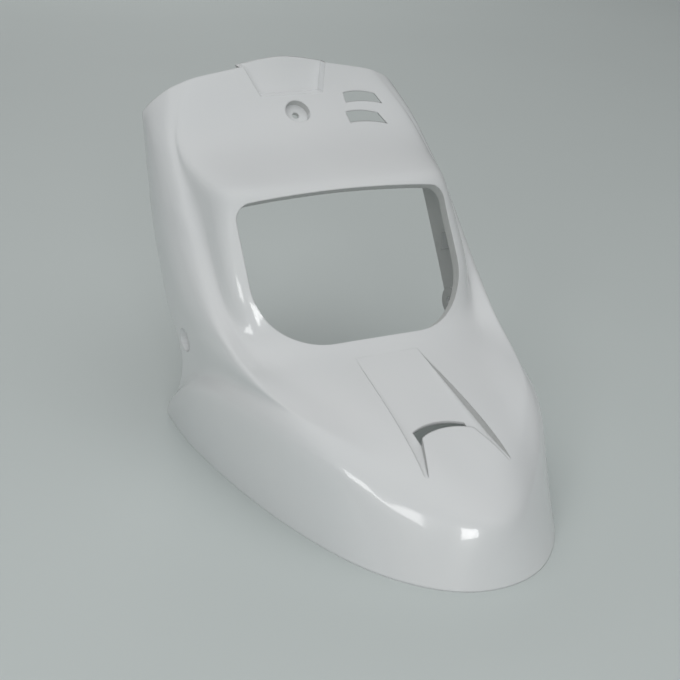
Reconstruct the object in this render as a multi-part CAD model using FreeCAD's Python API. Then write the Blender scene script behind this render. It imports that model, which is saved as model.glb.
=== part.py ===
import FreeCAD, Part
import math
import os

# Scooter front apron: one thin moulded shell, drawn in millimetres.
# Drawing axes: X to the rider's left when seen from the front, Y to the rear, Z up.
# The drawing starts at the rear end of the lower rim, on the mirror plane.

V = FreeCAD.Vector

# Overall sizes
body_width = 294.0
body_length = 454.0
body_height = 316.0
wall = 2.5
rim_trim = 4.0

# Lamp opening, measured in its own tilted plane
lamp_width = 206.0
lamp_rise = 135.0
lamp_sill = 3.0
lamp_top_arch = 3.0
lamp_low_radius = 62.0
lamp_high_radius = 14.0
lamp_lip_depth = 10.0

# Hood channel with the arched slot at its front end
channel_start = 16.0
channel_length = 150.0
channel_rear_half = 30.0
channel_front_half = 40.0
channel_depth = 7.0
tongue_length = 43.0
tongue_half = 24.0
tongue_arch = 6.0
slot_gap = 15.0

# Steering clearance scoop in the top edge
scoop_height = 31.0
scoop_low_half = 32.0
scoop_high_half = 45.0
scoop_depth = 11.0

# Screw seats
seat_radius = 10.5
seat_depth = 6.0
seat_hole_radius = 3.25
top_seat_radius = 12.0
top_seat_hole_radius = 3.25
top_seat_back = 39.0
top_seat_height = 270.0
top_seat_tilt = 45.0
top_seat_depth = 7.0
side_seat_back = -44.0
side_seat_height = 93.0

# Vent slots, on one side only
vent_count = 2
vent_start = 50.0
vent_stagger = 4.0
vent_length = 40.0
vent_height = 8.0
vent_droop = 3.0
vent_slant = 5.0
vent_arch = 1.5
vent_low_level = 260.0
vent_pitch = 15.0

# Locating tab inside each flank
tab_reach = 14.0
tab_height = 18.0
tab_back = -25.0
tab_level = 140.0

# Guide points as drawn; half of the body, from the rear edge to the middle.
# They are stretched to the overall sizes named above.
drawn_half_width = 147.0
drawn_length = 454.0
drawn_height = 316.0

rim_row = [(145, 0), (147, -45), (144, -90), (138, -135), (130, -180),
           (118, -228), (99, -283), (75, -325), (40, -357), (0, -366)]
skirt_row = [(143, -15, 24), (146, -52, 52), (144, -92, 70), (137, -137, 78), (128, -180, 81),
             (114, -226, 80), (90, -268, 69), (62, -298, 57), (30, -332, 50), (0, -346, 48)]
crease_row = [(140, -19, 33), (139, -54, 62), (137, -92, 80), (130, -134, 88), (121, -176, 92),
              (108, -216, 91), (86, -252, 82), (59, -288, 68), (30, -321, 57), (0, -334, 54)]

# Columns that climb from the skirt crease to the top edge
rear_edge = [(140, -30, 58), (142, -32, 78), (143, -22, 95), (145, -8, 112), (145, 10, 140),
             (145, 28, 168), (144, 37, 184), (143, 45, 196), (142, 51, 206), (141, 58, 218),
             (139, 69, 236), (137, 80, 254), (135, 89, 268)]
shoulder = [(111, -204, 94), (116, -178, 99), (121, -152, 106), (126, -130, 114), (131, -98, 132),
            (132, -64, 162), (132, -46, 180), (132, -30, 197), (132, -17, 208), (131, -5, 220),
            (129, 20, 240), (126, 45, 262), (112, 77, 292)]
trough = [(92, -232, 89), (99, -190, 98), (106, -152, 104), (112, -122, 112), (120, -88, 140),
          (120, -56, 176), (120, -42, 192), (120, -30, 205), (121, -17, 216), (122, -2, 228),
          (123, 22, 245), (117, 48, 268), (100, 75, 297)]
pod_edge = [(64, -264, 80), (72, -212, 93), (82, -168, 103), (92, -128, 116), (112, -104, 150),
            (113, -78, 187), (112, -66, 208), (109, -57, 225), (110, -44, 232), (113, -12, 240),
            (116, 22, 252), (105, 52, 276), (85, 73, 302)]
middle = [(0, -305, 68), (0, -256, 86), (0, -195, 100), (0, -143, 112), (0, -117, 151),
          (0, -92, 189), (0, -76, 213), (0, -66, 228), (0, -50, 236), (0, -20, 245),
          (0, 20, 259), (0, 50, 283), (0, 69, 316)]
lamp_low_station = 3
lamp_high_station = 7
skirt_belly = 3.0
belly_level = 0.72
flank_columns = (0.2, 0.4, 0.6, 0.8)
flank_bow = 3.0


def stretch(point):
    return V(point[0] * body_width / 2 / drawn_half_width,
             point[1] * body_length / drawn_length,
             point[2] * body_height / drawn_height)


def blend(a, b, share):
    return a + (b - a) * share


def outward(point):
    flat = V(point.x, point.y + body_length / 4, 0)
    return flat.normalize()


def half_net():
    # Ten columns by seventeen rows, from the rear edge to the middle
    rim = [stretch((p[0], p[1], 0)) - V(0, 0, rim_trim) for p in rim_row]
    skirt = [stretch(p) for p in skirt_row]
    crease = [stretch(p) for p in crease_row]
    belly = []
    for low, high in zip(rim, skirt):
        belly.append(blend(low, high, belly_level) + outward(low) * skirt_belly)
    rows = [rim, belly, skirt, crease]
    count = len(middle)
    for i in range(count):
        fade = 1 - (i + 1) / count
        back = stretch(rear_edge[i])
        front = stretch(shoulder[i])
        row = [back]
        for k, share in enumerate(flank_columns):
            bow = crease[k + 1] - blend(crease[0], crease[5], share)
            puff = V(flank_bow * 4 * share * (1 - share), 0, 0)
            row.append(blend(back, front, share) + bow * fade + puff * (1 - fade))
        pod = stretch(pod_edge[i])
        centre = stretch(middle[i])
        between = blend(centre, pod, 0.5)
        between.y = blend(centre, pod, 0.25).y
        row += [front, stretch(trough[i]), pod, between, centre]
        rows.append(row)
    return rows


def full_net():
    net = []
    for row in half_net():
        mirrored = [V(-p.x, p.y, p.z) for p in row]
        net.append(mirrored + row[-2::-1])
    return net


def crisped(line):
    # Poles pushed out so that the skin passes close to the guide points
    out = [line[0]]
    for a, b, c in zip(line, line[1:], line[2:]):
        out.append(b + (b * 2 - a - c) / 6)
    return out + [line[-1]]


def knot_line(poles):
    return list(range(poles - 2)), [4] + [1] * (poles - 4) + [4]


def sheet(columns):
    # Smooth cubic surface over a net of poles
    u_knots, u_mults = knot_line(len(columns))
    v_knots, v_mults = knot_line(len(columns[0]))
    surface = Part.BSplineSurface()
    surface.buildFromPolesMultsKnots(columns, u_mults, v_mults, u_knots, v_knots,
                                     False, False, 3, 3)
    return surface


def pole_places(poles):
    # Parameter at which each pole pulls most
    last = poles - 3
    spread = [0, 0, 0] + list(range(last + 1)) + [last, last, last]
    return [sum(spread[i + 1:i + 4]) / 3 for i in range(poles)]


net = [crisped(row) for row in full_net()]
poles = [crisped(list(column)) for column in zip(*net)]
skin = sheet(poles)
u_places = pole_places(len(poles))
v_places = pole_places(len(poles[0]))
u_end = u_places[-1]
v_end = v_places[-1]


def outer_normal(u, v):
    # Unit normal pointing out of the body
    du = skin.getDN(u, v, 1, 0)
    dv = skin.getDN(u, v, 0, 1)
    return du.cross(dv).normalize()


def offset_face(u0, u1, v0, v1, offset):
    moved = []
    for u, column in zip(u_places, poles):
        moved.append([p + outer_normal(u, v) * offset for v, p in zip(v_places, column)])
    surface = sheet(moved)
    surface.segment(u0, u1, v0, v1)
    return surface.toShape()


def slab(u0, u1, v0, v1, top, bottom):
    # Closed block between two offsets of the skin
    upper = offset_face(u0, u1, v0, v1, top)
    lower = offset_face(u0, u1, v0, v1, bottom)
    sides = []
    for a, b in zip(upper.Edges, lower.Edges):
        sides.append(Part.makeRuledSurface(a, b))
    shell = Part.makeShell([upper, lower] + sides)
    shell.sewShape()
    solid = Part.Solid(Part.Shell(shell.Faces))
    if solid.Volume < 0:
        solid.reverse()
    return solid


def pushed(u0, u1, v0, v1, start, travel):
    # Block swept from a piece of the skin, set back by start, along a straight travel
    return offset_face(u0, u1, v0, v1, start).extrude(travel)


def pushed_around(u, v, travel):
    # The same for the skin near one place, with the block starting inside the wall
    return pushed(max(u - 2, 0), min(u + 2, u_end), max(v - 2, 0), min(v + 2, v_end), -embed, travel)


def prism(points, travel):
    return Part.Face(Part.makePolygon(points + [points[0]])).extrude(travel)


def lamp_outline(grow):
    # Rounded window in the lamp plane: wide, with large lower corners and an arched top
    half = lamp_width / 2 + grow
    low = lamp_sill - grow
    high = lamp_rise + grow
    r_low = lamp_low_radius + grow
    r_high = lamp_high_radius + grow
    bend = math.sqrt(0.5)

    def at(x, s):
        return lamp_base + V(x, 0, 0) + lamp_up * s

    edges = [Part.makeLine(at(r_low - half, low), at(half - r_low, low)),
             Part.Arc(at(half - r_low, low),
                      at(half - r_low + r_low * bend, low + r_low - r_low * bend),
                      at(half, low + r_low)).toShape(),
             Part.makeLine(at(half, low + r_low), at(half, high - r_high)),
             Part.Arc(at(half, high - r_high),
                      at(half - r_high + r_high * bend, high - r_high + r_high * bend),
                      at(half - r_high, high)).toShape(),
             Part.Arc(at(half - r_high, high), at(0, high + lamp_top_arch),
                      at(r_high - half, high)).toShape(),
             Part.Arc(at(r_high - half, high),
                      at(r_high - half - r_high * bend, high - r_high + r_high * bend),
                      at(-half, high - r_high)).toShape(),
             Part.makeLine(at(-half, high - r_high), at(-half, low + r_low)),
             Part.Arc(at(-half, low + r_low),
                      at(r_low - half - r_low * bend, low + r_low - r_low * bend),
                      at(r_low - half, low)).toShape()]
    return Part.Wire(edges)


def lamp_prism(grow):
    face = Part.Face(lamp_outline(grow))
    face.translate(lamp_out * lamp_clear)
    return face.extrude(lamp_out * (-2 * lamp_clear))


def add_lamp_opening(shape):
    ring = lamp_prism(wall).cut(lamp_prism(0))
    backing = pushed(u_trough, u_end - u_trough, v_lamp_low - 1.5, v_lamp_high + 1,
                     -embed, lamp_out * -lamp_lip_depth)
    return shape.cut(lamp_prism(0)).fuse(ring.common(backing))


def channel_plan(grow):
    # Plan of the hood channel with the tongue left standing between its two legs
    y0 = channel_rear + grow
    y1 = channel_rear - channel_length - grow
    y2 = channel_rear - channel_length + tongue_length - grow
    tip = y2 + tongue_arch
    inner = tongue_half - grow

    def at(x, y):
        return V(x, y, 0)

    corner_rear = channel_rear_half + grow
    corner_front = channel_front_half + grow
    arch = Part.Arc(at(inner, y2), at(0, tip), at(-inner, y2)).toShape()
    outline = [Part.makeLine(at(-corner_rear, y0), at(corner_rear, y0)),
               Part.makeLine(at(corner_rear, y0), at(corner_front, y1)),
               Part.makeLine(at(corner_front, y1), at(inner, y2)),
               arch,
               Part.makeLine(at(-inner, y2), at(-corner_front, y1)),
               Part.makeLine(at(-corner_front, y1), at(-corner_rear, y0))]
    return Part.Face(Part.Wire(outline)).extrude(V(0, 0, body_height))


def channel_fill(drop):
    # Space above the channel floor, which dips to its deepest line at the slot
    y_deep = channel_rear - channel_length + tongue_length
    y_front = channel_rear - channel_length
    reach = 2 * wall
    z_rear = skin_height(channel_rear)
    z_deep = skin_height(y_deep) - channel_depth
    z_front = skin_height(y_front)
    rear_slope = (z_rear - z_deep) / (channel_rear - y_deep)
    front_slope = (z_front - z_deep) / (y_front - y_deep)
    x = -channel_front_half - reach
    points = [V(x, channel_rear + reach, z_rear + rear_slope * reach - drop),
              V(x, y_deep, z_deep - drop),
              V(x, y_front - reach, z_front - front_slope * reach - drop),
              V(x, y_front - reach, body_height),
              V(x, channel_rear + reach, body_height)]
    return prism(points, V(-2 * x, 0, 0))


def add_hood_channel(shape):
    pan = channel_plan(wall).common(channel_fill(wall))
    under = pushed(u_shoulder, u_end - u_shoulder, v_crease, v_lamp_low,
                   -embed, V(0, 0, -2 * channel_depth - wall))
    shape = shape.fuse(pan.common(under))
    shape = shape.cut(channel_plan(0).common(channel_fill(0)))
    y2 = channel_rear - channel_length + tongue_length
    edges = [Part.Arc(V(-tongue_half, y2, 0), V(0, y2 + tongue_arch, 0),
                      V(tongue_half, y2, 0)).toShape(),
             Part.makeLine(V(tongue_half, y2, 0), V(tongue_half, y2 + slot_gap, 0)),
             Part.Arc(V(tongue_half, y2 + slot_gap, 0), V(0, y2 + tongue_arch + slot_gap, 0),
                      V(-tongue_half, y2 + slot_gap, 0)).toShape(),
             Part.makeLine(V(-tongue_half, y2 + slot_gap, 0), V(-tongue_half, y2, 0))]
    return shape.cut(Part.Face(Part.Wire(edges)).extrude(V(0, 0, body_height)))


def scoop_prism(grow):
    low = body_height - scoop_height - grow
    slope = (scoop_high_half - scoop_low_half) / scoop_height
    high = body_height + scoop_height
    wide = scoop_low_half + grow + slope * (high - low)
    narrow = scoop_low_half + grow
    y = -body_length
    points = [V(-narrow, y, low), V(narrow, y, low), V(wide, y, high), V(-wide, y, high)]
    return prism(points, V(0, 2 * body_length, 0))


def add_scoop(shape):
    u0 = u_pod
    u1 = u_end - u_pod
    back = V(0, scoop_depth + wall, 0)
    backing = pushed(u0, u1, v_panel, v_end, -embed, back).common(scoop_prism(wall))
    hollow = offset_face(u0, u1, v_panel, v_end, 0)
    hollow.translate(V(0, -scoop_depth, 0))
    hollow = hollow.extrude(V(0, 2 * scoop_depth, 0)).common(scoop_prism(0))
    return shape.fuse(backing).cut(hollow)


def add_seat(shape, place, axis, radius, depth, hole_radius):
    # Sunk round screw seat with a floor and a through hole
    u, v = skin.parameter(place)
    centre = skin.value(u, v)
    backing = pushed_around(u, v, axis * (-depth - wall))
    cup = Part.makeCylinder(radius + wall, 4 * depth, centre - axis * (2 * depth), axis)
    shape = shape.fuse(cup.common(backing))
    floor = centre - axis * depth
    shape = shape.cut(Part.makeCylinder(radius, 4 * depth, floor, axis))
    hole = Part.makeCylinder(hole_radius, 4 * depth, centre - axis * (3 * depth), axis)
    return shape.cut(hole)


def vent_cutter(start, level):
    # Arched slot with a slanted outer end, cut straight through the panel
    y = -body_length
    end = start + vent_length
    middle_x = (start + end) / 2
    inner_low = V(start, y, level)
    outer_low = V(end, y, level - vent_droop)
    outer_high = V(end - vent_slant, y, level - vent_droop + vent_height)
    inner_high = V(start, y, level + vent_height)
    low_arch = V(middle_x, y, level - vent_droop / 2 + vent_arch)
    high_arch = V(middle_x, y, level - vent_droop / 2 + vent_height + vent_arch)
    edges = [Part.Arc(inner_low, low_arch, outer_low).toShape(),
             Part.makeLine(outer_low, outer_high),
             Part.Arc(outer_high, high_arch, inner_high).toShape(),
             Part.makeLine(inner_high, inner_low)]
    return Part.Face(Part.Wire(edges)).extrude(V(0, 2 * body_length, 0))


def add_vents(shape):
    for step in range(vent_count):
        level = vent_low_level + step * vent_pitch
        shape = shape.cut(vent_cutter(vent_start + step * vent_stagger, level))
    return shape


def add_tab(shape, side):
    place = V(side * body_width / 2, tab_back, tab_level)
    u, v = skin.parameter(place)
    sweep = pushed_around(u, v, V(-side * tab_reach, 0, 0))
    block = Part.makeBox(body_width, wall, tab_height, V(-body_width / 2, tab_back, tab_level))
    return shape.fuse(sweep.common(block))


embed = wall * 0.4
lamp_clear = 90.0
lamp_base = stretch(middle[lamp_low_station])
lamp_up = (stretch(middle[lamp_high_station]) - lamp_base).normalize()
lamp_out = V(1, 0, 0).cross(lamp_up)
channel_rear = lamp_base.y - channel_start
u_shoulder = 4
u_trough = 5
u_pod = 6
v_crease = 2
v_lamp_low = 6
v_lamp_high = 10
v_panel = v_end - 2


def skin_height(y):
    # Height of the skin on the mirror plane at a given Y, found by halving
    low = 0.0
    high = float(v_lamp_low)
    for turn in range(40):
        mid = (low + high) / 2
        if skin.value(u_end / 2, mid).y < y:
            low = mid
        else:
            high = mid
    return skin.value(u_end / 2, low).z


body = slab(0, u_end, 0, v_end, 0, -wall)
below = Part.makeBox(2 * body_width, 2 * body_length, rim_trim * 4,
                     V(-body_width, -body_length * 1.5, -rim_trim * 4))
body = body.cut(below)
body = add_lamp_opening(body)
body = add_hood_channel(body)
body = add_scoop(body)
tilt = math.radians(top_seat_tilt)
top_axis = V(0, -math.cos(tilt), math.sin(tilt))
top_place = V(0, top_seat_back, top_seat_height)
body = add_seat(body, top_place, top_axis, top_seat_radius, top_seat_depth, top_seat_hole_radius)
for side in (-1, 1):
    place = V(side * body_width / 2, side_seat_back, side_seat_height)
    body = add_seat(body, place, V(side, 0, 0), seat_radius, seat_depth, seat_hole_radius)
    body = add_tab(body, side)
body = add_vents(body)

# Origin in the middle of the footprint, at floor level
reach = [p.y for p in body.tessellate(wall / 10)[0]]
body.translate(V(0, -(min(reach) + max(reach)) / 2, 0))

os.makedirs("parts", exist_ok=True)
body.exportStep("parts/front_apron.step")
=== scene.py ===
import bpy
from mathutils import Matrix, Vector

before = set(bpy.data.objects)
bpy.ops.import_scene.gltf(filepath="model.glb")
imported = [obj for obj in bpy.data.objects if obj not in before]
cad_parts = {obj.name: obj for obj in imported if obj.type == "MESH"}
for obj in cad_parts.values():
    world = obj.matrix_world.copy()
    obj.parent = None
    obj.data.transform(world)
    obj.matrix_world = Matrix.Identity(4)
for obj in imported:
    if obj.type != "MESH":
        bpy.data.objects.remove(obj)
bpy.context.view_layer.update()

# Scooter front apron in gloss white paint, on a plain pale floor. Metres.

# Camera, in the part's frame
camera_place = (-0.469, -0.838, 0.536)
camera_right = (0.8959, -0.4420, 0.0446)
camera_up = (0.1436, 0.3832, 0.9124)
camera_lens = 63.53
sensor_width = 36.0

# Paint outside, raw plastic inside
paint_colour = (0.80, 0.815, 0.82, 1.0)
paint_shade = (0.77, 0.79, 0.80, 1.0)
raw_colour = (0.62, 0.63, 0.62, 1.0)
paint_roughness = 0.30
raw_roughness = 0.60
coat_weight = 0.9
coat_roughness = 0.06
patch_scale = 7.0
peel_scale = 420.0
peel_strength = 0.05
peel_height = 0.0004
edge_radius = 0.0020

# A point in the hollow, and half the width of the blend between the two sides
inside_point = (0.0, 0.25, 0.06)
inside_blend = 0.004

# Floor and surroundings
floor_size = 12.0
floor_colour = (0.61, 0.66, 0.65, 1.0)
floor_shade = 0.97
floor_roughness = 0.55
world_colour = (0.78, 0.80, 0.80, 1.0)
world_strength = 0.25


def node(tree, kind, **sockets):
    made = tree.nodes.new(kind)
    for name, value in sockets.items():
        made.inputs[name.replace("_", " ")].default_value = value
    return made


def new_material(name):
    material = bpy.data.materials.new(name)
    material.use_nodes = True
    shader = material.node_tree.nodes["Principled BSDF"]
    return material, material.node_tree, shader


def noise(tree, place, scale, detail):
    made = node(tree, "ShaderNodeTexNoise", Scale=scale, Detail=detail)
    tree.links.new(place, made.inputs["Vector"])
    return made.outputs["Fac"]


def ramp(tree, value, low, high):
    made = tree.nodes.new("ShaderNodeMapRange")
    made.inputs["From Min"].default_value = low
    made.inputs["From Max"].default_value = high
    tree.links.new(value, made.inputs["Value"])
    return made.outputs["Result"]


def mixed_colour(tree, share, first, second):
    made = tree.nodes.new("ShaderNodeMix")
    made.data_type = "RGBA"
    tree.links.new(share, made.inputs[0])
    for slot, value in ((6, first), (7, second)):
        if isinstance(value, tuple):
            made.inputs[slot].default_value = value
        else:
            tree.links.new(value, made.inputs[slot])
    return made.outputs[2]


def mixed_value(tree, share, first, second):
    made = tree.nodes.new("ShaderNodeMix")
    tree.links.new(share, made.inputs[0])
    made.inputs[2].default_value = first
    made.inputs[3].default_value = second
    return made.outputs[0]


def inside_share(tree):
    # One on faces that look into the hollow of the shell, nought on the painted side
    geometry = tree.nodes.new("ShaderNodeNewGeometry")
    away = tree.nodes.new("ShaderNodeVectorMath")
    away.operation = "SUBTRACT"
    away.inputs[1].default_value = inside_point
    tree.links.new(geometry.outputs["Position"], away.inputs[0])
    facing = tree.nodes.new("ShaderNodeVectorMath")
    facing.operation = "DOT_PRODUCT"
    tree.links.new(away.outputs["Vector"], facing.inputs[0])
    tree.links.new(geometry.outputs["Normal"], facing.inputs[1])
    return ramp(tree, facing.outputs["Value"], inside_blend, -inside_blend)


def paint_material():
    material, tree, shader = new_material("gloss white paint")
    place = tree.nodes.new("ShaderNodeTexCoord").outputs["Object"]
    inside = inside_share(tree)
    patch = ramp(tree, noise(tree, place, patch_scale, 3.0), 0.35, 0.7)
    paint = mixed_colour(tree, patch, paint_colour, paint_shade)
    colour = mixed_colour(tree, inside, paint, raw_colour)
    tree.links.new(colour, shader.inputs["Base Color"])
    roughness = mixed_value(tree, inside, paint_roughness, raw_roughness)
    tree.links.new(roughness, shader.inputs["Roughness"])
    tree.links.new(mixed_value(tree, inside, coat_weight, 0.0), shader.inputs["Coat Weight"])
    shader.inputs["Coat Roughness"].default_value = coat_roughness
    shader.inputs["Specular IOR Level"].default_value = 0.5
    # Fine orange peel over softly rounded edges
    peel = node(tree, "ShaderNodeBump", Strength=peel_strength, Distance=peel_height)
    tree.links.new(noise(tree, place, peel_scale, 2.0), peel.inputs["Height"])
    soft_edge = node(tree, "ShaderNodeBevel", Radius=edge_radius)
    tree.links.new(soft_edge.outputs["Normal"], peel.inputs["Normal"])
    tree.links.new(peel.outputs["Normal"], shader.inputs["Normal"])
    return material


def floor_material():
    material, tree, shader = new_material("pale table")
    place = tree.nodes.new("ShaderNodeTexCoord").outputs["Object"]
    patch = noise(tree, place, 2.5, 2.0)
    shade = tuple(floor_shade * value for value in floor_colour[:3]) + (1.0,)
    tree.links.new(mixed_colour(tree, patch, floor_colour, shade), shader.inputs["Base Color"])
    shader.inputs["Roughness"].default_value = floor_roughness
    return material


def add_floor():
    bpy.ops.mesh.primitive_plane_add(size=floor_size, location=(0, 0, 0))
    floor = bpy.context.object
    floor.name = "floor"
    floor.data.materials.append(floor_material())


def add_softbox(name, place, target, width, height, power):
    light = bpy.data.lights.new(name, "AREA")
    light.shape = "RECTANGLE"
    light.size = width
    light.size_y = height
    light.energy = power
    lamp = bpy.data.objects.new(name, light)
    bpy.context.collection.objects.link(lamp)
    lamp.location = place
    way = Vector(target) - Vector(place)
    lamp.rotation_euler = way.to_track_quat("-Z", "Y").to_euler()
    return lamp


def add_camera():
    data = bpy.data.cameras.new("camera")
    data.sensor_width = sensor_width
    data.lens = camera_lens
    camera = bpy.data.objects.new("camera", data)
    bpy.context.collection.objects.link(camera)
    right = Vector(camera_right).normalized()
    back = right.cross(Vector(camera_up)).normalized()
    up = back.cross(right)
    turn = Matrix((right, up, back)).transposed()
    camera.matrix_world = Matrix.Translation(camera_place) @ turn.to_4x4()
    bpy.context.scene.camera = camera


def set_world():
    world = bpy.data.worlds.new("studio")
    world.use_nodes = True
    background = world.node_tree.nodes["Background"]
    background.inputs["Color"].default_value = world_colour
    background.inputs["Strength"].default_value = world_strength
    bpy.context.scene.world = world


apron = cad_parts["front_apron"]
paint = paint_material()
for slot in apron.material_slots:
    slot.material = paint

add_floor()
set_world()

# Soft lights: place, target, width, height, watts
add_softbox("main", (-0.72, -1.87, 0.92), (0.0, -0.1, 0.1), 0.60, 0.48, 7.4)
overhead = add_softbox("overhead", (-0.2, -0.5, 3.0), (-0.2, -0.5, 0.0), 5.0, 4.4, 58.0)
# The overhead light only fills, so that the paint shows no hard edge of it
overhead.visible_glossy = False
add_softbox("left", (-1.50, -1.12, 1.02), (0.0, -0.1, 0.1), 0.40, 0.46, 3.2)
add_softbox("far floor", (0.9, 3.8, 2.0), (0.9, 3.8, 0.0), 2.4, 1.8, 24.0)

add_camera()
bpy.context.scene.view_settings.view_transform = "Standard"
